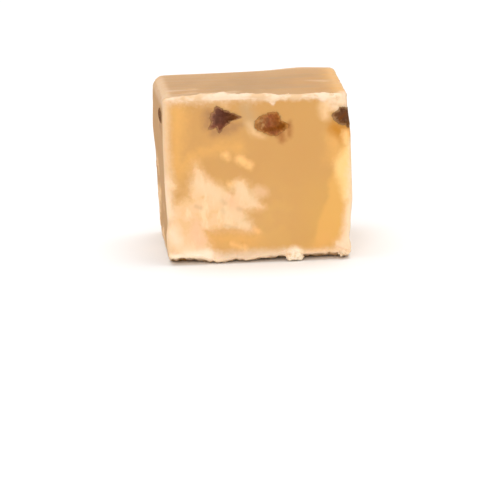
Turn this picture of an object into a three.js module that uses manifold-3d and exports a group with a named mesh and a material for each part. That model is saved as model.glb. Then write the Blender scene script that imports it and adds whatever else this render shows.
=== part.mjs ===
// One hand-cut cube of fudge with raisins set in it, standing on its base.
// Millimetres, +Z up, +X to the right and +Y to the back. The origin is the middle of the base.
//
// The block is a box with softly rounded edges. Its corners stand a little out of square and its
// upright edges swell. A crumbly sugar lip runs along the cut edges and rises highest at the front
// of the top. The front carries a low smear of torn sugar and a shallow plane at its right. The
// raisins lie in the upper third, cut off flush by the knife, each one in a pocket of its own.

import * as THREE from "three";
import { mergeVertices } from "three/addons/utils/BufferGeometryUtils.js";
import Module from "manifold-3d";

const wasm = await Module();
wasm.setup();

// ---- Driving dimensions ----

const width = 30; // between the left and right cuts, along X
const depth = 30; // between the front and back cuts, along Y
const height = 27.2; // thickness of the poured slab
const edgeRadius = 0.75;
const baseSharper = 0.3; // how much less it is along the base
const raisinGap = 0.3; // free space between a raisin and its pocket

const halfWidth = width / 2;
const halfDepth = depth / 2;

// Grid cells along each side, and how strongly they crowd towards the edges, from 0 to 1.
const cells = { x: 36, y: 18, z: 24 };
const crowding = 0.7;

// How far each corner stands out of the true box: [x, y, z].
const cornerShift = {
  frontBottomLeft: [0.45, 0, 0],
  frontBottomRight: [0.05, -0.1, 0],
  backBottomLeft: [0.1, 0, 0],
  backBottomRight: [0, 0.15, 0],
  frontTopLeft: [0, 0, 0.25],
  frontTopRight: [-0.1, 0, 0.15],
  backTopLeft: [-0.45, 0, -0.18],
  backTopRight: [0.45, 0, 0.2],
};

// Swells of the upright edges: each stands out by reach between two heights, with soft ends.
const swells = {
  frontLeft: [{ reach: 0.25, from: 9, to: 23, fade: 4 }, { reach: 0.35, from: 2, to: 6, fade: 1.4 }],
  backLeft: [{ reach: 0.3, from: 16, to: 26, fade: 3 }, { reach: 0.22, from: 6, to: 21, fade: 2.5 }],
  frontRight: [
    { reach: 0.42, from: 8, to: 22.5, fade: 2.4 },
    { reach: -0.25, from: 2.2, to: 4.6, fade: 1.2 },
  ],
  backRight: [{ reach: 0.3, from: 6, to: 22, fade: 5 }],
};
const swellSharpness = 4; // how quickly a swell fades away from its own edge

// The top's two side edges are rubbed rounder: not yet at the front, fully from this far back.
const wornEdges = { left: 1.8, right: 1.0, spread: 2.6, fullFrom: -6 };
// The corner at the front, top and right is rubbed round too.
const wornCorner = { at: new THREE.Vector3(halfWidth, -halfDepth, height), radius: 1.7, spread: 2.3 };

// ---- Small shaping functions ----

const degrees = Math.PI / 180;
const bell = (distance, spread) => Math.exp(-((distance / spread) ** 2));
const smooth = (low, high, value) => THREE.MathUtils.smoothstep(value, low, high);
const total = (list, value) => list.reduce((sum, one) => sum + value(one), 0);

// An uneven line from -1 to 1: three waves whose lengths have no common measure.
function wander(along, waveLength, start = 0) {
  const turn = (2 * Math.PI * along) / waveLength + start;
  return (Math.sin(turn) + 0.6 * Math.sin(2.37 * turn + 1.3) + 0.4 * Math.sin(4.11 * turn + 4.2)) / 2;
}

// 1 between two values and 0 outside them, with soft ends.
const plateau = (value, { from, to, fade }) =>
  smooth(from - fade, from + fade, value) * (1 - smooth(to - fade, to + fade, value));

// ---- The block's own form ----

// The nearest point of the box's core, and how far round it the surface lies.
function coreOf(point) {
  const rubbed = bell(point.z - height, wornEdges.spread) * smooth(-halfDepth, wornEdges.fullFrom, point.y);
  const radius = edgeRadius - baseSharper * bell(point.z, wornEdges.spread) +
    (wornEdges.left - edgeRadius) * rubbed * bell(point.x + halfWidth, wornEdges.spread) +
    (wornEdges.right - edgeRadius) * rubbed * bell(point.x - halfWidth, wornEdges.spread) +
    (wornCorner.radius - edgeRadius) * bell(point.distanceTo(wornCorner.at), wornCorner.spread);
  const low = new THREE.Vector3(radius - halfWidth, radius - halfDepth, radius);
  const high = new THREE.Vector3(halfWidth - radius, halfDepth - radius, height - radius);
  return { core: point.clone().clamp(low, high), radius };
}

// Moves a point of the true box to where the uneven block has it.
function warp(point) {
  const right = 0.5 + point.x / width;
  const back = 0.5 + point.y / depth;
  const top = point.z / height;
  const moved = point.clone();
  for (const [corner, shift] of Object.entries(cornerShift)) {
    const share = (corner.endsWith("Right") ? right : 1 - right) *
      (corner.startsWith("back") ? back : 1 - back) *
      (corner.includes("Top") ? top : 1 - top);
    moved.addScaledVector(new THREE.Vector3(...shift), share);
  }
  for (const [edge, list] of Object.entries(swells)) {
    const onRight = edge.endsWith("Right");
    const across = (onRight ? right : 1 - right) ** swellSharpness;
    const along = edge.startsWith("back") ? back : 1 - back;
    const reach = total(list, (swell) => swell.reach * plateau(point.z, swell));
    moved.x += (onRight ? 1 : -1) * across * along * reach;
  }
  return moved;
}

// ---- Relief: how far the surface stands out of the plain block, side by side ----

const lip = { height: 0.28, width: 1.0, ragged: 0.3, wave: 5.3 }; // sugar lip, widest at the front's top
// On the other edges it has a share of that height, and fades out between inner and outer.
const lipEdges = {
  left: { share: 0.5, inner: 0.5, outer: 1.3, ragged: 0.3, wave: 7.1, start: 2 },
  right: { share: 0.6, inner: 0.4, outer: 1.2, ragged: 0.4, wave: 6.3, start: 4 },
  base: { share: 0.7, inner: 0.6, outer: 1.4, ragged: 0.4, wave: 4.7, start: 1 },
  otherSides: { share: 0.5, inner: 0.5, outer: 1.0, ragged: 0.3, wave: 4.9, start: 5 },
};
const drips = [{ x: 2.8, drop: 0.75, spread: 0.4 }, { x: 10.9, drop: 0.35, spread: 0.8 }];
// The lip above the top's front, which starts a little in from the left.
const crest = {
  rise: 0.7, least: 0.14, x: -6, spread: 6, breadth: 1.1, ragged: 0.1, wave: 3.9, start: 3, fullFrom: -11,
};
const backRise = { rise: 0.3, x: 9, spread: 4, breadth: 3 };
const scrape = { deep: 0.2, x: -9.5, y: -4.6, long: 3.2, broad: 0.9 }; // a hollow streak in the top
const facet = { foot: 7.7, lean: 0.286, slope: 0.09, top: 19, fade: 3 }; // shallow plane, front right
const bladeWaves = { height: 0.09, length: 9.5, slant: 0.08 }; // on the top
const knifeWaves = { height: 0.07, length: 8.3, slant: 0.1, start: 2 }; // on the sides

// The torn sugar on the lower left of the front, as strokes: from [x, z], to [x, z], half width at each end.
const smear = {
  height: 0.16,
  soft: 0.5,
  strokes: [
    [-10.0, 16.2, -9.4, 12.6, 0.3, 1.3],
    [-9.4, 12.4, -6.9, 11.5, 1.5, 1.5],
    [-6.9, 11.2, -4.4, 9.8, 1.5, 1.5],
    [-10.0, 12.6, -9.8, 10.4, 1.2, 1.2],
    [-2.9, 12.4, -2.5, 10.4, 1.1, 1.6],
    [-2.6, 10.4, 0.4, 9.1, 1.3, 0.1],
    [-11.4, 8.6, -4.6, 8.0, 2.2, 2.2],
    [-9.0, 6.6, -2.0, 6.0, 0.9, 0.6],
    [-12.7, 7.4, -12.0, 2.8, 2.0, 2.0],
    [-11.2, 6.0, -10.4, 2.8, 1.7, 2.1],
    [-11.4, 1.9, -8.4, 1.4, 1.2, 0.7],
  ],
};

// How far inside a stroke a place lies. It is negative outside.
function strokeDepth(x, z, [fromX, fromZ, toX, toZ, fromWidth, toWidth]) {
  const line = [toX - fromX, toZ - fromZ];
  const along = ((x - fromX) * line[0] + (z - fromZ) * line[1]) / (line[0] ** 2 + line[1] ** 2);
  const t = THREE.MathUtils.clamp(along, 0, 1);
  const away = Math.hypot(x - fromX - t * line[0], z - fromZ - t * line[1]);
  return fromWidth + (toWidth - fromWidth) * t - away;
}

// The lip's height at a place that far from its edge and that far along it.
const lipAt = (away, along, { share, inner, outer, ragged, wave, start }) =>
  share * (1 - smooth(inner, outer + ragged * wander(along, wave, start), away));

function frontRelief({ x, z }) {
  const band = lip.width + lip.ragged * wander(x, lip.wave) +
    total(drips, (drip) => drip.drop * bell(x - drip.x, drip.spread));
  const edges = Math.max(
    1 - smooth(0.6 * band, band, height - z),
    lipAt(x + halfWidth, z, lipEdges.left),
    lipAt(halfWidth - x, z, lipEdges.right),
    lipAt(z, x, lipEdges.base),
  );
  const inSmear = Math.max(...smear.strokes.map((stroke) => strokeDepth(x, z, stroke)));
  const pastFacet = Math.max(0, x - facet.foot - facet.lean * z);
  const facetDrop = facet.slope * pastFacet * (1 - smooth(facet.top - facet.fade, facet.top, z));
  return lip.height * edges + smear.height * smooth(-smear.soft, smear.soft, inSmear) - facetDrop;
}

// The top was spread with a blade: low waves from side to side, and a crest along its front.
function topRelief({ x, y }) {
  const rise = crest.rise * bell(x - crest.x, crest.spread) + crest.least +
    crest.ragged * wander(x, crest.wave, crest.start);
  const crested = smooth(-halfWidth, crest.fullFrom, x) * bell(y + halfDepth, crest.breadth);
  return bladeWaves.height * wander(y + bladeWaves.slant * x, bladeWaves.length) + rise * crested +
    backRise.rise * bell(x - backRise.x, backRise.spread) * bell(y - halfDepth, backRise.breadth) -
    scrape.deep * bell(x - scrape.x, scrape.long) * bell(y - scrape.y, scrape.broad);
}

// The other sides are plain knife cuts with a faint drag, and a thin lip along the top.
function sideRelief(along, z) {
  const marks = knifeWaves.height * wander(along + knifeWaves.slant * z, knifeWaves.length, knifeWaves.start);
  return marks + lip.height * lipAt(height - z, along, lipEdges.otherSides);
}

function relief(place, facing) {
  const share = (amount) => Math.max(0, amount) ** 2;
  return share(-facing.y) * frontRelief(place) +
    share(facing.z) * topRelief(place) +
    share(facing.y) * sideRelief(place.x, place.z) +
    facing.x ** 2 * sideRelief(place.y, place.z);
}

// The front of the base hangs a little above the table. Its edge sags and arches. The lift fades out
// over ramp times its height behind the front, and over rise times its height above the base.
const underEdge = {
  lift: 1.1,
  ramp: 4,
  rise: 2.6,
  arches: [
    { x: -12.5, rise: 0.1, spread: 2.0 },
    { x: -6.8, rise: -0.8, spread: 2.5 },
    { x: -2.1, rise: -0.65, spread: 1.6 },
    { x: 0.9, rise: -0.3, spread: 1.6 },
    { x: 13.9, rise: -0.4, spread: 0.9 },
  ],
};

function baseLift({ x, y, z }) {
  const edge = underEdge.lift + total(underEdge.arches, (arch) => arch.rise * bell(x - arch.x, arch.spread));
  const nearFront = 1 - smooth(0, underEdge.ramp * edge, y + halfDepth);
  return edge * nearFront * (1 - smooth(0, underEdge.rise * edge, z));
}

// ---- The block as one closed grid ----

// Cell edges from -1 to 1, closer together towards both ends.
const crowded = (t) => (1 - crowding) * t + crowding * Math.sin((t * Math.PI) / 2);

function blockGeometry() {
  const box = new THREE.BoxGeometry(2, 2, 2, cells.x, cells.y, cells.z);
  const positions = box.attributes.position;
  for (let i = 0; i < positions.count; i++) {
    const onBox = new THREE.Vector3(
      crowded(positions.getX(i)) * halfWidth,
      crowded(positions.getY(i)) * halfDepth,
      ((crowded(positions.getZ(i)) + 1) / 2) * height,
    );
    const { core, radius } = coreOf(onBox);
    const facing = onBox.clone().sub(core).normalize();
    const place = core.addScaledVector(facing, radius);
    const lifted = new THREE.Vector3(0, 0, baseLift(place));
    const settled = warp(place.addScaledVector(facing, relief(place, facing)).add(lifted));
    positions.setXYZ(i, settled.x, settled.y, Math.max(0, settled.z));
  }
  return box;
}

// Lumps of sugar that cling to the front's lower edge: [x, y, z] of the middle, and the half sizes.
const crumbTaper = 0.1; // how much wider a lump is at its top, and narrower at its foot
const crumbs = [
  { at: [5.7, -14.8, 0.95], size: [1.4, 1.0, 0.95] },
  { at: [4.3, -14.8, 1.35], size: [0.7, 0.6, 0.45] },
  { at: [13.6, -14.8, 1.1], size: [0.7, 0.6, 0.5] },
];

function crumbGeometry({ at, size }) {
  const lump = new THREE.SphereGeometry(1, 14, 10);
  const positions = lump.attributes.position;
  for (let i = 0; i < positions.count; i++) {
    positions.setX(i, positions.getX(i) * (1 + crumbTaper * positions.getZ(i)));
  }
  return lump.scale(...size).translate(...at);
}

// ---- Raisins ----

// side: the side that cuts the raisin. at: its middle there, [to the right, up], seen from outside.
// size: half its length and half its height, then turned. deep: how far it reaches in. proud: how
// far it stands out. lobes: the folds of its outline, [direction, reach, breadth], degrees and mm.
const raisins = [
  {
    name: "raisin_front_left", side: "front", at: [-5.35, 23.7], size: [1.2, 1.55], turn: -60,
    deep: 2.6, proud: 0.1,
    lobes: [[2, 1.45, 10], [17, 0.5, 13], [117, 1.0, 22], [166, 0.75, 28], [215, 1.2, 13], [254, 1.0, 15]],
  },
  {
    name: "raisin_front_middle", side: "front", at: [2.35, 22.4], size: [1.95, 1.55], turn: -48,
    deep: 2.4, proud: 0.1,
    lobes: [[357, 1.15, 17], [58, 0.7, 26], [90, 0.15, 12], [150, 0.25, 18], [184, 0.95, 28], [334, 0.2, 13]],
  },
  {
    name: "raisin_right_edge", side: "front", at: [14.9, 23.4], size: [1.6, 1.05], turn: 39,
    deep: 4.1, proud: 0.05,
    lobes: [[168, 1.3, 28], [122, 0.95, 22], [264, 0.6, 14]],
  },
  {
    name: "raisin_left_side", side: "left", at: [8, 23.6], size: [4.2, 0.9], turn: -2,
    deep: 1.9, proud: 0.3,
    lobes: [[70, 0.15, 20], [150, 0.3, 14], [250, 0.15, 18], [330, 0.35, 14]],
  },
  {
    name: "raisin_right_side", side: "right", at: [5.4, 22.2], size: [2.9, 1.6], turn: -14,
    deep: 2.5, proud: 0.15,
    lobes: [[20, 0.6, 15], [95, 0.35, 20], [160, 0.45, 16], [235, 0.4, 18], [300, 0.3, 16]],
  },
  {
    name: "raisin_back_left", side: "back", at: [-6.9, 23.1], size: [2.7, 1.5], turn: 18,
    deep: 2.6, proud: 0.15,
    lobes: [[0, 0.5, 14], [62, 0.35, 18], [140, 0.45, 16], [200, 0.6, 14], [285, 0.35, 18]],
  },
  {
    name: "raisin_back_right", side: "back", at: [5.8, 21.7], size: [1.9, 1.7], turn: 0,
    deep: 2.3, proud: 0.1,
    lobes: [[30, 0.8, 15], [110, 0.4, 18], [178, 0.7, 15], [255, 0.5, 18], [325, 0.3, 15]],
  },
];
const sideTurn = { front: 0, right: 90, back: 180, left: 270 }; // about Z, in degrees
const raisinCells = { round: 24, across: 8 };
const pocketMouth = 1.5; // how far a pocket's cutter stands out of the side

// The outline's reach from the raisin's middle, in a direction in degrees.
function outline({ size: [long, short], turn, lobes }, direction) {
  const own = (direction - turn) * degrees;
  const oval = (long * short) / Math.hypot(short * Math.cos(own), long * Math.sin(own));
  return oval + total(lobes, ([towards, reach, breadth]) => {
    const apart = THREE.MathUtils.euclideanModulo(direction - towards + 180, 360) - 180;
    return reach * bell(apart, breadth);
  });
}

// Pulls a point that stands out of the block back to its surface, or to just proud of it.
function trimmed(point, proud) {
  const { core, radius } = coreOf(point);
  const out = point.clone().sub(core);
  return core.add(out.clampLength(0, radius + proud));
}

// A closed shell: a nearly flat cap at the cut, and a bowl behind it.
function shellGeometry(raisin, grown, capHeight, finish) {
  const shell = new THREE.SphereGeometry(1, raisinCells.round, raisinCells.across);
  const positions = shell.attributes.position;
  const turn = new THREE.Matrix4().makeRotationZ(sideTurn[raisin.side] * degrees);
  for (let i = 0; i < positions.count; i++) {
    const [x, out, z] = [positions.getX(i), positions.getY(i), positions.getZ(i)];
    const direction = Math.atan2(z, x);
    const reach = (outline(raisin, direction / degrees) + grown) * Math.hypot(x, z);
    const place = new THREE.Vector3(
      raisin.at[0] + reach * Math.cos(direction),
      out * (out > 0 ? raisin.deep + grown : capHeight) - halfDepth,
      raisin.at[1] + reach * Math.sin(direction),
    ).applyMatrix4(turn);
    const settled = warp(finish(place));
    positions.setXYZ(i, settled.x, settled.y, settled.z);
  }
  return shell;
}

const raisinGeometry = (raisin) =>
  shellGeometry(raisin, 0, raisin.proud, (place) => trimmed(place, raisin.proud));
const pocketGeometry = (raisin) => shellGeometry(raisin, raisinGap, pocketMouth, (place) => place);

// ---- Joining and cutting ----

function solidFrom(geometry) {
  const bare = geometry.clone();
  bare.deleteAttribute("normal");
  bare.deleteAttribute("uv");
  const merged = mergeVertices(bare, 1e-4);
  return new wasm.Manifold(new wasm.Mesh({
    numProp: 3,
    vertProperties: merged.attributes.position.array,
    triVerts: new Uint32Array(merged.index.array),
  }));
}

function geometryFrom(solid) {
  const { vertProperties, triVerts } = solid.getMesh();
  const geometry = new THREE.BufferGeometry();
  geometry.setAttribute("position", new THREE.BufferAttribute(vertProperties, 3));
  geometry.setIndex(new THREE.BufferAttribute(triVerts, 1));
  geometry.computeVertexNormals();
  return geometry;
}

// ---- The finished piece ----

const fudgeMaterial = new THREE.MeshStandardMaterial({ color: "#dfae6b", roughness: 0.55, metalness: 0 });
const raisinMaterial = new THREE.MeshStandardMaterial({ color: "#5a2f22", roughness: 0.4, metalness: 0 });

function addMesh(group, name, geometry, material) {
  const mesh = new THREE.Mesh(geometry, material);
  mesh.name = name;
  group.add(mesh);
}

let block = solidFrom(blockGeometry());
for (const crumb of crumbs) block = block.add(solidFrom(crumbGeometry(crumb)));
for (const raisin of raisins) block = block.subtract(solidFrom(pocketGeometry(raisin)));

const fudgeCube = new THREE.Group();
fudgeCube.name = "fudge_cube";
addMesh(fudgeCube, "fudge_block", geometryFrom(block), fudgeMaterial);
for (const raisin of raisins) addMesh(fudgeCube, raisin.name, raisinGeometry(raisin), raisinMaterial);

// The middle of the whole footprint is the origin.
const middle = new THREE.Box3().setFromObject(fudgeCube).getCenter(new THREE.Vector3());
fudgeCube.position.set(-middle.x, -middle.y, 0);

export default fudgeCube;
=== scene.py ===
import math
from functools import partial

import bpy
import numpy as np
from mathutils import Matrix


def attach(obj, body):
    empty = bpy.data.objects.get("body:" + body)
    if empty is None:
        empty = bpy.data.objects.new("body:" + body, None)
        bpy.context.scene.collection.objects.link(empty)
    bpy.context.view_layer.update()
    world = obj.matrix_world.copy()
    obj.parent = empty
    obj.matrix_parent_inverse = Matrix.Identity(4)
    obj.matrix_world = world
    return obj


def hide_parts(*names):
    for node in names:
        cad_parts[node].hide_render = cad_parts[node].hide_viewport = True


# A cube of raisin fudge, cut by hand: the block, its raisins and the sugar crumbs on its edges.
# Shapes are worked out in millimetres, in the block's own frame, and put into the meshes in metres.

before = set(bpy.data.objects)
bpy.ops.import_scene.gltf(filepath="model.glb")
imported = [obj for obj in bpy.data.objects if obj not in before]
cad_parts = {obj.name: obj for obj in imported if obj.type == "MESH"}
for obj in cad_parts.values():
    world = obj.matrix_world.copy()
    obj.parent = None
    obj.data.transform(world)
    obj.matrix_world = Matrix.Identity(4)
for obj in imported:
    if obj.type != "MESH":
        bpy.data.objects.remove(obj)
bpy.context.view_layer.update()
print("packed model loaded:", len(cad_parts), "nodes")

mm = 0.001
toOrigin = np.array([0.083, 0.311, 0.0])  # from the block's own middle to the middle of the footprint, mm


# Shaping helpers. They all take and give whole arrays.

def bell(distance, spread):  # exp(-(distance / spread)^2)
    return np.exp(-((distance / spread) ** 2))


def smooth(low, high, value):  # t^2 (3 - 2 t) with t = (value - low) / (high - low), kept in 0..1
    t = np.clip((value - low) / (high - low), 0, 1)
    return t * t * (3 - 2 * t)


def plateau(value, start, end, fade):  # 1 between start and end, 0 outside, over 2 fade each
    return smooth(start - fade, start + fade, value) * (1 - smooth(end - fade, end + fade, value))


def wander(along, waveLength, start=0.0):
    # (sin a + 0.6 sin(2.37 a + 1.3) + 0.4 sin(4.11 a + 4.2)) / 2, with a = 2 pi along / waveLength + start
    turn = 2 * np.pi * along / waveLength + start
    return (np.sin(turn) + 0.6 * np.sin(2.37 * turn + 1.3) + 0.4 * np.sin(4.11 * turn + 4.2)) / 2


def grain(points, cell, seed):
    # random values -1..1 on a lattice with this cell, blended between its corners with t^2 (3 - 2 t)
    table = np.random.default_rng(seed).uniform(-1, 1, (32, 32, 32))
    scaled = points / cell
    low = np.floor(scaled).astype(int)
    t = scaled - low
    t = t * t * (3 - 2 * t)
    value = 0
    for corner in np.ndindex(2, 2, 2):
        weight = np.prod(np.where(corner, t, 1 - t), axis=1)
        i, j, k = ((low + corner) % 32).T
        value = value + weight * table[i, j, k]
    return value


def cragginess(points, cell, seed):  # grain + grain/2 at half the cell + grain/4 at a quarter
    return sum(grain(points, cell / 2**n, seed + n) / 2**n for n in range(3)) / 1.75


# The block of fudge

fudgeBlock = {
    "size": (30.0, 30.0, 27.2),  # between the cuts, and the thickness of the slab
    "cells": (150, 90, 136),  # of the grid on its faces, along x, y and z
    "crowding": 0.35,  # how strongly the cells crowd towards the edges
    "edgeRadius": 0.75,
    "baseSharper": 0.3,  # how much less it is along the base
    "wornLeft": 1.8,  # radius of the top's left edge
    "wornRight": 1.0,
    "wornSpread": 2.6,
    "wornFullFrom": -6,  # not yet worn at the front, fully from this far back
    "wornCorner": 1.7,  # radius of the front's top right corner
    "wornCornerSpread": 2.3,
    "cornerShift": {  # (right, back, top), each 0 or 1: (x, y, z) out of the true box
        (0, 0, 0): (0.45, 0, 0), (1, 0, 0): (0.05, -0.1, 0),
        (0, 1, 0): (0.1, 0, 0), (1, 1, 0): (0, 0.15, 0),
        (0, 0, 1): (0, 0, 0.25), (1, 0, 1): (-0.1, 0, 0.15),
        (0, 1, 1): (-0.45, 0, -0.18), (1, 1, 1): (0.45, 0, 0.2),
    },
    "swells": [  # (right, back), reach, from, to, fade
        ((0, 0), 0.25, 9, 23, 4), ((0, 0), 0.35, 2, 6, 1.4),
        ((0, 1), 0.3, 16, 26, 3), ((0, 1), 0.22, 6, 21, 2.5),
        ((1, 0), 0.42, 8, 22.5, 2.4), ((1, 0), -0.25, 2.2, 4.6, 1.2), ((1, 1), 0.3, 6, 22, 5),
    ],
    "swellSharpness": 4,
    "underLift": 1.1,  # the front of the base hangs this far above the table
    "underRamp": 4,  # it fades out over this times its height behind the front
    "underRise": 2.6,  # and over this times its height above the base
    "underRagged": 0.3,  # crumbs broken out of its edge
    "underCell": 0.6,
    "arches": [  # x, rise, spread
        (-12.5, 0.1, 2.0), (-6.8, -0.8, 2.5), (-2.1, -0.65, 1.6), (0.9, -0.3, 1.6), (13.9, -0.4, 0.9),
    ],
    "lumps": [  # sugar that clings to the front's lower edge: middle, half sizes
        ((5.7, -14.8, 0.95), (1.4, 1.0, 0.95)),
        ((4.3, -14.8, 1.35), (0.7, 0.6, 0.45)),
        ((13.6, -14.8, 1.1), (0.7, 0.6, 0.5)),
    ],
    "lumpTaper": 0.1,  # how much wider a lump is at its top, and narrower at its foot
    "lumpCrags": 0.5,
    "lumpCell": 0.6,
    "lumpGrid": (48, 32),
}
size = np.array(fudgeBlock["size"])
halfWidth, halfDepth, height = size[0] / 2, size[1] / 2, size[2]


def coreOf(points):
    # the point clamped into the box less its edge radius, which grows near the top's side edges and its
    # front right corner and shrinks near the base
    x, y, z = points.T
    plain, spread = fudgeBlock["edgeRadius"], fudgeBlock["wornSpread"]
    rubbed = bell(z - height, spread) * smooth(-halfDepth, fudgeBlock["wornFullFrom"], y)
    left = (fudgeBlock["wornLeft"] - plain) * bell(x + halfWidth, spread)
    right = (fudgeBlock["wornRight"] - plain) * bell(x - halfWidth, spread)
    fromCorner = np.linalg.norm(points - np.array([halfWidth, -halfDepth, height]), axis=1)
    corner = (fudgeBlock["wornCorner"] - plain) * bell(fromCorner, fudgeBlock["wornCornerSpread"])
    radius = plain - fudgeBlock["baseSharper"] * bell(z, spread) + rubbed * (left + right) + corner
    radius = radius[:, None]
    low = np.array([-halfWidth, -halfDepth, 0]) + radius
    high = np.array([halfWidth, halfDepth, height]) - radius
    return np.clip(points, low, high), radius


def warp(points):
    # point + sum over the corners of their shift times the point's share of them + the edges' swells
    shares = np.stack([0.5 + points[:, 0] / size[0], 0.5 + points[:, 1] / size[1], points[:, 2] / height], 1)
    moved = points.astype(float).copy()
    for corner, shift in fudgeBlock["cornerShift"].items():
        share = np.prod(np.where(corner, shares, 1 - shares), axis=1)
        moved += share[:, None] * np.array(shift)
    for (right, back), reach, start, end, fade in fudgeBlock["swells"]:
        across = np.clip(shares[:, 0] if right else 1 - shares[:, 0], 0, None) ** fudgeBlock["swellSharpness"]
        along = shares[:, 1] if back else 1 - shares[:, 1]
        moved[:, 0] += (1 if right else -1) * across * along * reach * plateau(points[:, 2], start, end, fade)
    return moved


def unwarp(points):  # point - (warp(point) - point), near enough for placing marks
    return 2 * points - warp(points)


sideTurn = {"front": 0, "right": 90, "back": 180, "left": 270}  # about Z, degrees


def onSide(points, side):
    # (to the right, up, how far inside) as seen from outside that side: the point turned back about Z,
    # or for the top (x, y, depth below it)
    if side == "top":
        return points[:, 0], points[:, 1], height - points[:, 2]
    c, s = math.cos(math.radians(sideTurn[side])), math.sin(math.radians(sideTurn[side]))
    across = points[:, 0] * c + points[:, 1] * s
    inwards = points[:, 1] * c - points[:, 0] * s
    return across, points[:, 2], inwards + halfDepth


# Marks on the faces, in mm. A stroke is (across, up) to (across, up) with its half width, or one at each end.
# ragged is how far grain shifts a mark's border, and the cell of that grain.

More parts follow.
